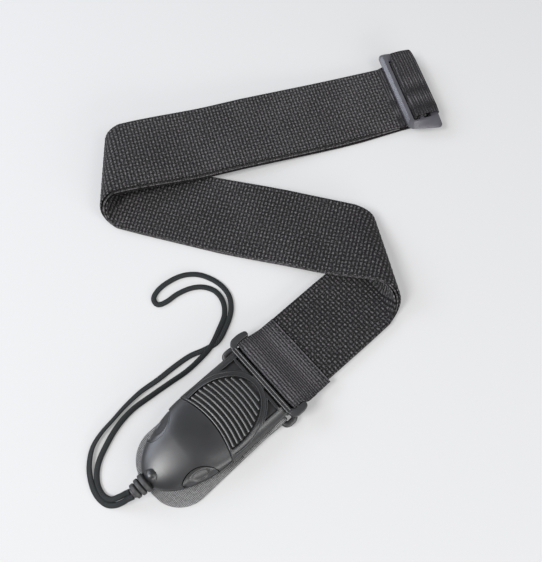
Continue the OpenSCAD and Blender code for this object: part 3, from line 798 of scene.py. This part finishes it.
def stitches(name, node, rows, count, step, place, height):
    """Rows of short rounded stitches across the strap; height gives the cloth's top at each row."""
    mesh = Mesh()
    for s in rows:
        for i in range(count):
            v = (i - (count - 1) / 2) * step
            t = np.linspace(-1, 1, 7)
            sag = np.sqrt(np.clip(1 - t**2, 0, 1))
            path = place(np.stack([s + 0 * t, v + 1.2 * t, height(s) + 0.1 * sag], axis=1))
            sections = np.array([flat_oval(0.12 + 0.22 * k, 0.05 + 0.13 * k, 8, 2.2) for k in sag])
            tube(mesh, path, sections)
    mesh.build(name, THREAD, "strap", [node], "thread")


FLAP_TOP = 3 * PITCH + WEB_T + 0.05
TAB_TOP = 4.05
stitches("buckle_stitches", "buckle_stitching", (-23, -20), 15, 3.3, at_ring, lambda s: FLAP_TOP)
stitches("tab_stitches", "tab_stitching", (28, 40), 13, 3.4, at_tab, lambda s: TAB_TOP)
stitches(
    "slider_stitches", "slider_stitching", (-11.7, -10.2), 14, 3.4, at_slider, lambda s: 3.3 + 0.3 * (s + 14)
)

# ---- slider


def slider_body():
    """A moulded frame with chamfered sides; the near end slopes down in a broad facet, cut askew."""
    x0, x1, y0, y1 = -11.6, 12.3, -30.6, 34.4

    def outer(left_in, right_in, near_in, far_in, r):
        loop = np.array(rounded_box(x0 + left_in, x1 - right_in, y0 + near_in, y1 - far_in, r, 8))
        ends = 0.23 * smooth(-loop[:, 1], 24, 29) + 0.17 * smooth(loop[:, 1], 24, 29)
        loop[:, 1] -= (loop[:, 0] + 11.5) * ends
        return loop

    def hole(grow):
        return np.array(rounded_box(-6.4 - grow, 6.4 + grow, -26.2 - grow, 26.2 + grow, 0.8 + grow, 8))

    shoulder = outer(0, 0, 0, 0, 3.4)
    levels = [
        (outer(0.6, 0.6, 0.6, 0.6, 2.9), 6.9),
        (shoulder, 7.35),
        (shoulder, 9.0 + 0.7 * smooth(shoulder[:, 0], 0, 9) - 1.5 * (1 - smooth(shoulder[:, 1], -31.5, -28))),
        (outer(2.3, 0.6, 3.8, 0.8, 2.4), 10.4),
        (hole(0.4), 10.4),
        (hole(0), 10.0),
        (hole(0), 7.3),
        (hole(0.4), 6.9),
    ]
    rings = np.array([np.column_stack([xy, np.broadcast_to(z, len(xy))]) for xy, z in levels])
    rings = np.concatenate([rings, rings[:1]])
    mesh = Mesh().grid(at_slider(rings), around=True)
    mesh.build("slider_body", SLIDER_PLASTIC, "slider", ["slider_frame"], "moulded_plastic", 25)


slider_body()
middle_bar = Mesh()
tube(middle_bar, at_slider([[0, y, BAR_Z] for y in np.linspace(-26.5, 26.5, 30)]), circle(1.8, 24))
middle_bar.build("slider_middle_bar", SLIDER_PLASTIC, "slider")

# ---- end ring and leather tab
RING_V, RING_CORNER = 28.8, 3.2


def end_ring():
    outline = rounded_box(ROD_A, ROD_B, -RING_V, RING_V, RING_CORNER, 10)
    path = np.array([[s, v, ROD_Z] for s, v in outline])
    end = smooth(np.abs(path[:, 1]), 25.8, 28.0)
    sections = circle(1, 20)[None] * np.stack([1.5 + 0.45 * end, 1.5 + 0 * end], axis=1)[:, None]
    mesh = Mesh()
    tube(mesh, at_tab(path), sections, closed=True)
    mesh.build("end_ring_wire", WIRE, "strap", ["end_ring"], "coated_wire")


TAB_T, TAB_HALF, TAB_END, TAB_R = 1.9, 25.5, 97.0, 21.0


def end_tab():
    """Leather folded round the far rod, its lower layer ending in a round tongue with a button hole."""
    wrap = arc((ROD_B, ROD_Z), ROD_Z - TAB_T / 2, 90, 270, 16)
    upper = [(44, 3.05), (26, 3.05), (23, 3.6), (17, 6.2)]
    line, at = resample(upper + wrap + [(40, TAB_T / 2), (TAB_END, TAB_T / 2)], 0.9)
    edge = 0.8
    half_at = np.where(
        line[:, 0] > TAB_END - TAB_R,
        TAB_HALF - TAB_R + np.sqrt(np.clip(TAB_R**2 - (line[:, 0] - TAB_END + TAB_R) ** 2, 0.01, None)),
        TAB_HALF,
    ) + 0.9 * hump(line[:, 0], 14, 9)
    a = np.concatenate([np.linspace(-1, -0.97, 4), np.linspace(-0.95, 0.95, 60), np.linspace(0.97, 1, 4)])
    v = half_at[:, None] * a
    mid = np.stack(np.broadcast_arrays(line[:, 0:1], v, line[:, 1:2]), axis=-1)
    normal = normals_of(mid)
    near = half_at[:, None] - np.abs(v)
    near = np.minimum(near, (at[-1] - at)[:, None])
    body = np.sqrt(np.clip(1 - np.clip(1 - near / edge, 0, 1) ** 2, 0.02, 1))
    top = at_tab(mid + normal * (body * TAB_T / 2)[..., None])
    low = at_tab(mid - normal * (body * TAB_T / 2)[..., None])
    piece = Mesh().slab(top, low).build("tab_leather_piece", LEATHER, "strap", ["end_tab"], "leather")
    slit = arc((84, 0), 4.5, -172, 172, 40) + [[70, 0.6], [70, -0.6]]
    cut_out(piece, prism(slit, -2, 4, at_tab))


end_ring()
end_tab()

# ---- buckle, plug half
HALF_B = 24.3
SEAM_AT, SEAM_R = 104.8, 60.0
ARCH = (40.0, 28.5, 20.6)  # the grip's arch: its centre along the buckle, its reach and half width
POCKET_GAP = 3.6
GRIP_START, GRIP_PITCH = 3.415, 2.9


def seam(v, r=SEAM_R):
    return SEAM_AT - np.sqrt(r**2 - v**2)


def ellipse(s, v, margin):
    """Below 1 inside the arch-shaped grip, enlarged by margin."""
    return np.sqrt(((s - ARCH[0]) / (ARCH[1] + margin)) ** 2 + (v / (ARCH[2] + margin)) ** 2)


def plug_top(s, v):
    """The plug's crowned top, before its recesses are cut."""
    z = np.interp(s, [7, 9, 20, 34, 52], [12.6, 13.3, 14.6, 15.8, 16.4])
    z = z - 4.6 * np.clip((np.abs(v) - 17.5) / 6.8, 0, 1) ** 2.4
    gap = np.sqrt((SEAM_AT - s) ** 2 + v**2) - SEAM_R
    return z + 0.25 * hump(gap, 0.9, 0.35) - 0.5 * (1 - smooth(gap, 0, 0.4))


def plug_base(s):
    return np.interp(s, [22, 28], [8.2, 4.8])


def arch(margin, start, end, n=60):
    """Points of the grip's arch, enlarged by margin, between two angles about its centre."""
    a = np.radians(np.linspace(start, end, n))
    return np.stack([ARCH[0] + (ARCH[1] + margin) * np.cos(a), (ARCH[2] + margin) * np.sin(a)], axis=1)


def arch_reach(v, margin):
    """How far along the buckle the enlarged arch reaches from its centre, at v."""
    return (ARCH[1] + margin) * np.sqrt(1 - (v / (ARCH[2] + margin)) ** 2)


def pocket(side):
    """A corner pocket: the triangle between the arch, the strap bar and the side wall."""
    curve = arch(POCKET_GAP, 122.0, 154.6, 24)
    corners = np.array([[11.0, 20.4], [22.2, 20.4]])
    return np.concatenate([curve, corners]) * [1, side]


def trench(v, start, end, depth):
    """A closed cutter over the plan area between start and end at each v, depth below the top."""
    s = start[:, None] + (end - start)[:, None] * np.linspace(0, 1, 13)
    w = np.broadcast_to(v[:, None], s.shape)
    low = np.stack([s, w, plug_top(s, w) - depth], axis=-1)
    return Mesh().slab(at_ring(np.stack([s, w, np.full_like(s, 24.0)], axis=-1)), at_ring(low))


def on_top(loop, lift=0.0):
    return np.column_stack([loop, plug_top(loop[:, 0], loop[:, 1]) + lift])


def leaning(half, deep, slope):
    """A ridge's section, from its side towards the nose to its side towards the strap.  The half of
    its top towards the nose leans that way, the other half falls gently towards the strap."""
    low = -slope * (half - 0.15)
    return np.array([(-half, -deep), (half, -deep), (half, -0.45), (half - 0.15, -0.24), (0, 0),
                     (0.15 - half, low), (-half, low - 0.2)])


def plug_block():
    v = np.concatenate([np.linspace(-HALF_B, -HALF_B + 0.8, 4), np.linspace(-23.3, 23.3, 90),
                        np.linspace(HALF_B - 0.8, HALF_B, 4)])
    start = seam(v, SEAM_R + 0.05)
    k = np.concatenate([[0, 0.006, 0.012, 0.018, 0.024], np.linspace(0.03, 1, 70)])
    s = (start[None] + (7.3 - start)[None] * k[:, None])[::-1]
    w = np.broadcast_to(v, s.shape)
    plan = np.stack([s, w], axis=-1)
    z = plug_top(s, w)
    top = np.concatenate([plan, z[..., None]], axis=-1)
    low = np.concatenate([plan, np.minimum(plug_base(s), z - 0.8)[..., None]], axis=-1)
    body = Mesh().slab(at_ring(top), at_ring(low))
    body = body.build("plug_body", PLASTIC, "plug", ["plug_frame"], "moulded_plastic", 35)
    v = 20.15 * np.sin(np.linspace(-math.pi / 2, math.pi / 2, 61))
    bend = arch_reach(v, -0.4)
    cutters = [trench(v, ARCH[0] - bend, np.minimum(seam(v, SEAM_R + 1.6), ARCH[0] + bend), 2.6)]
    for side in (-1, 1):
        v = np.linspace(10.8, 20.4, 31)
        cutters.append(trench(side * v, np.full_like(v, 11.0), ARCH[0] - arch_reach(v, POCKET_GAP), 2.2))
        v = np.linspace(5.0, 20.0, 5)
        cutters.append(trench(side * v, np.full_like(v, 8.3), np.full_like(v, 9.8), 3.0))
    cut_out(body, *cutters, sharp_deg=35)
    rims = Mesh()
    for margin in (0.1, 2.5):
        tube(rims, at_ring(on_top(arch(margin, 78, 282, 120), 0.1)), flat_oval(0.5, 0.45, 12, 2.2))
    for side in (-1, 1):
        loop = resample(np.concatenate([pocket(side), pocket(side)[:1]]), 0.7)[0][:-1]
        tube(rims, at_ring(on_top(loop, 0.05)), flat_oval(0.32, 0.3, 10, 2.2), closed=True)
    # a chamfered lip along the lower edge of both sides
    section = np.array([(-0.6, 7.6), (0.9, 7.6), (0.9, 8.0), (-0.3, 9.3), (-0.6, 9.3)])
    for side in (-1, 1):
        rings = [[[q, side * (HALF_B + a), z] for a, z in section] for q in np.linspace(7.6, 49.5, 30)]
        rims.grid(at_ring(np.array(rings)), around=True, caps=True)
    rims.build("plug_rims", PLASTIC, "plug", slot="moulded_plastic", smooth_deg=30)


def grip_ridges(ribs=11):
    """Ribs across the grip, arcs about the seam's centre, standing in the arch-shaped recess."""
    mesh = Mesh()
    turn = np.radians(np.linspace(24, -24, 121))
    for k in range(ribs):
        r = SEAM_R + GRIP_START + GRIP_PITCH * k
        line = np.stack([SEAM_AT - r * np.cos(turn), r * np.sin(turn)], axis=1)
        line = line[ellipse(line[:, 0], line[:, 1], -1.0) < 1]
        if len(line) < 6:
            continue
        out = line - [SEAM_AT, 0]
        out = at_ring(np.column_stack([out, np.zeros(len(out))])) - at_ring(np.zeros((1, 3)))
        tube(mesh, at_ring(on_top(line, -0.1)), leaning(0.85, 3.4, 0.22), side=out)
    mesh.build("grip_ridges", PLASTIC, "plug", ["grip_insert"], "moulded_plastic", 15)


def plug_ears():
    """The rounded ends of the strap slot, with the bar between them that the webbing wraps."""
    for side, label, back in ((-1, "left", -6.4), (1, "right", -4.6)):
        corner = rounded_path(
            [(7.7, 24.0), (7.7, 27.5), (5.0, 30.7), (-1.5, 30.9), (back, 29.6), (back, 26.25),
             (3.0, 26.25), (4.9, 24.0)],
            2.4,
        )
        plate(f"plug_ear_{label}", [corner * [1, side]], PIN_Z - 2.2, PIN_Z + 2.5, 0.6, PLASTIC, "plug")
    bar = rounded_box(4.9, 7.7, -26.4, 26.4, 0.5)
    plate("plug_crossbar", [bar], PIN_Z - 2.2, PIN_Z + 2.6, 0.5, PLASTIC, "plug")
    ridges = Mesh()
    for q in (5.45, 7.35):
        line = at_ring([[q, v, PIN_Z + 3.0] for v in np.linspace(25.2, -25.2, 40)])
        towards_strap = np.broadcast_to(np.append(-unit(HEAD_3), 0), line.shape).copy()
        tube(ridges, line, leaning(0.7, 1.2, 0.24), side=towards_strap)
    ridges.build("plug_crossbar_ridges", PLASTIC, "plug", slot="moulded_plastic")
    pin = Mesh()
    tube(pin, at_ring([[0, v, PIN_Z] for v in np.linspace(-26.6, 26.6, 30)]), circle(PIN_R, 24))
    pin.build("plug_pin", PLASTIC, "plug", slot="moulded_plastic")


plug_block()
grip_ridges()
plug_ears()

# ---- buckle, socket half
NOSE_AT, NOSE_END = 47.0, 94.0
SCOOP_AT, SCOOP_R = np.array([72.5, 27.0]), 14.0
PIVOT, BUTTON_REACH = np.array([49.4, 18.3]), 30.8
SPLIT_Z = 11.0


def outline_v(s, margin=0.0):
    """Half width of the socket at s."""
    k = np.clip((np.asarray(s, float) - NOSE_AT) / (NOSE_END - NOSE_AT - margin), 0, 1)
    return (HALF_B - margin) * np.sqrt(1 - k**2)


def dome_top(s, v):
    rho = np.sqrt(np.clip((s - NOSE_AT) / (NOSE_END - NOSE_AT), 0, 1) ** 2 + (v / HALF_B) ** 2)
    crown = 16.9 + 2.6 * smooth(s, 44, 68)
    z = 11.5 + (crown - 11.5) * np.clip(1 - rho**2.5, 0, 1) ** 0.6
    hood = 12.3 + np.sqrt(np.clip(4.5**2 - (s - 89.3) ** 2 - (v + 0.4) ** 2, 0, None))
    return np.maximum(z, np.where(hood > 12.31, hood, 0))


def window_outline(side, shrink=0.0):
    """The plan outline of a side window: an arc towards the buckle's middle and a front edge about
    the prong's root.  shrink moves both inwards for the button that fills it."""
    a = np.radians(np.linspace(184, 312, 60))
    arc_points = SCOOP_AT + (SCOOP_R - shrink) * np.stack([np.cos(a), np.sin(a)], axis=1)
    reach = BUTTON_REACH - shrink
    arc_points = arc_points[np.hypot(*(arc_points - PIVOT).T) < reach]
    first = math.degrees(math.asin((arc_points[-1][1] - PIVOT[1]) / reach))
    front = np.array(arc(PIVOT, reach, first, 24, 14))
    return arc_points * [1, side], front * [1, side]


def socket_dome():
    v = 24.0 * np.sin(np.linspace(-math.pi / 2, math.pi / 2, 151))
    u = np.linspace(0, 1, 120)
    start = seam(v, SEAM_R - 0.3)
    end = NOSE_AT + (NOSE_END - NOSE_AT) * np.sqrt(1 - (v / HALF_B) ** 2)
    s = start[None] + (end - start)[None] * (1 - (1 - u[:, None]) ** 1.2)
    w = np.broadcast_to(v, s.shape)
    z = dome_top(s, w)
    top = np.stack([s, w, z], axis=-1)
    low = np.stack([s, w, np.maximum(z - 0.8, SPLIT_Z + 0.1)], axis=-1)
    mesh = Mesh().slab(at_ring(top), at_ring(low))
    dome = mesh.build("socket_dome", PLASTIC, "socket", ["socket_upper"], "moulded_plastic", 35)
    cutters = []
    for side in (-1, 1):
        inner, front = window_outline(side)
        loop = np.concatenate([inner, front, [[74, 34 * side], [57, 34 * side]]])
        cutters.append(prism(loop, -1, 30))
    cut_out(dome, *cutters, sharp_deg=35)
    lip, proud = Mesh(), 0.15
    half_l, half_w = NOSE_END - NOSE_AT + proud, HALF_B + proud
    for start, end in ((88, 75.5), (47.5, 7), (-7, -47.5)):
        path = [
            [NOSE_AT + half_l * math.cos(t), half_w * math.sin(t), SPLIT_Z - 0.3]
            for t in np.radians(np.linspace(start, end, 40))
        ]
        path = [[max(q, 50.4), w, z] for q, w, z in path]
        tube(lip, at_ring(resample(path, 0.8)[0]), flat_oval(0.45, 0.5, 10, 3))
    lip.build("socket_lip", PLASTIC, "socket", slot="moulded_plastic")


def button(side, label):
    """A side button: its face drops from the window's inner edge to a thin rim over the tray."""
    inner, front = window_outline(1, 0.4)
    edge = resample(np.concatenate([inner, front[:4]]), 0.5)[0]
    edge = edge[edge[:, 1] < outline_v(edge[:, 0], 0.9)]
    outer_s = np.interp(np.linspace(0, 1, len(edge)), [0, 1], [edge[0, 0] + 0.1, edge[-1, 0] + 0.1])
    outer = np.stack([outer_s, outline_v(outer_s, 0.2)], axis=1)
    q = np.linspace(0, 1, 30)
    plan = edge[:, None] * (1 - q[None, :, None]) + outer[:, None] * q[None, :, None]
    s, v = plan[..., 0], plan[..., 1]
    qq = np.broadcast_to(q, s.shape)
    high = (dome_top(edge[:, 0], edge[:, 1]) - 1.2)[:, None]
    z = high + (9.3 - high) * (0.45 * qq + 0.55 * qq**2.4)
    z = z + 0.3 * hump(qq, 0.93, 0.06)
    # a shallow oval thumb mark with a faint rim, turned a little about its middle
    turn = unit(-14)
    ds, dv = s - 68.6, v - 18.0
    oval = np.hypot((ds * turn[0] + dv * turn[1]) / 6.0, (-ds * turn[1] + dv * turn[0]) / 2.5)
    z = z - 0.4 * (1 - smooth(oval, 0.7, 1.0)) + 0.1 * hump(oval, 1.12, 0.1)
    sign = np.array([1, side, 1])
    top = np.stack([s, v, z], axis=-1) * sign
    low = np.stack([s, v, np.full_like(z, 7.0)], axis=-1) * sign
    mesh = Mesh().slab(at_ring(top), at_ring(low))
    arm = [[a, b * side, 9.7] for a, b in ((50.0, 18.3), (55.0, 18.2), (61.0, 18.6), (64.0, 19.2))]
    tube(mesh, at_ring(np.array(arm)), flat_oval(1.2, 2.6, 16, 4))
    mesh.build(f"button_{label}", PLASTIC, f"release_{label}", [f"prong_{label}"], "moulded_plastic", 45)


def boot():
    """Three soft rings round the cord, each rounded over."""
    profile = [(82.3, 0.1), (82.3, 2.9), (93.2, 2.9)]
    for start, r, length in ((93.7, 6.0, 2.9), (97.2, 5.4, 2.6), (100.4, 4.8, 2.7)):
        k = np.linspace(0, 1, 9)
        profile += [(start + length * t, r - 0.6 * abs(2 * t - 1) ** 6) for t in k]
        profile += [(start + length + 0.15, 3.3)]
    profile += [(104.0, 3.2), (104.3, 2.4), (104.3, 0.1)]
    mesh = Mesh()
    lathe(mesh, (0, 0, SPLIT_Z), profile, at_ring)
    mesh.build("strain_relief", RUBBER, "socket", ["cord_boot"], "boot_rubber", 50)


socket_dome()
button(-1, "left")
button(1, "right")
boot()

for name, material in (("socket_lower", PLASTIC), ("guide_tongue", PLASTIC), ("cord_anchor", WIRE)):
    node = frame["nodes"][name]
    node.data.materials.clear()
    node.data.materials.append(material)

# ---- floor and light
FLOOR_HALF, FLOOR_GAP = 15, 0.0002
floor_data = bpy.data.meshes.new("floor")
corners = [(x * FLOOR_HALF, y * FLOOR_HALF, 0) for x, y in ((-1, -1), (1, -1), (1, 1), (-1, 1))]
floor_data.from_pydata(corners, [], [(0, 1, 2, 3)])
floor = new_object("floor", floor_data)
floor.location.z = -FLOOR_GAP
floor_material = node_material("pale_floor", (0.29, 0.29, 0.292), 1.0, Specular_IOR_Level=0.0)[0]
glow = floor_material.node_tree.nodes["Principled BSDF"].inputs
glow["Emission Color"].default_value, glow["Emission Strength"].default_value = (1, 1, 1, 1), 0.235
floor_data.materials.append(floor_material)


def area_light(name, at, towards, size, power, colour=(1, 1, 1)):
    data = bpy.data.lights.new(name, "AREA")
    data.shape, data.energy, data.color = "RECTANGLE", power, colour
    data.size, data.size_y = size
    lamp = new_object(name, data)
    lamp.location = at
    aim = np.array(towards, float) - np.array(at, float)
    lamp.rotation_euler = Vector(aim).to_track_quat("-Z", "Y").to_euler()
    return lamp


world = bpy.data.worlds.new("studio")
bpy.context.scene.world = world
world.use_nodes = True
background = world.node_tree.nodes["Background"]
background.inputs["Color"].default_value = (1.0, 1.0, 1.0, 1)
background.inputs["Strength"].default_value = 0.5
area_light("key", (-0.86, -0.48, 1.28), (0, 0, 0), (0.60, 0.55), 27)
area_light("side", (-1.1, 0.35, 0.75), (0, 0, 0), (1.0, 0.6), 15, (0.82, 0.88, 1.0))
area_light("rim", (0.75, -1.0, 0.42), (0, -0.05, 0), (1.4, 0.35), 13)
area_light("fill", (0.715, -0.37, 0.965), (0.09, 0.13, 0), (0.5, 0.5), 5)

scene = bpy.context.scene
scene.view_settings.view_transform = "Standard"
scene.view_settings.look = "None"
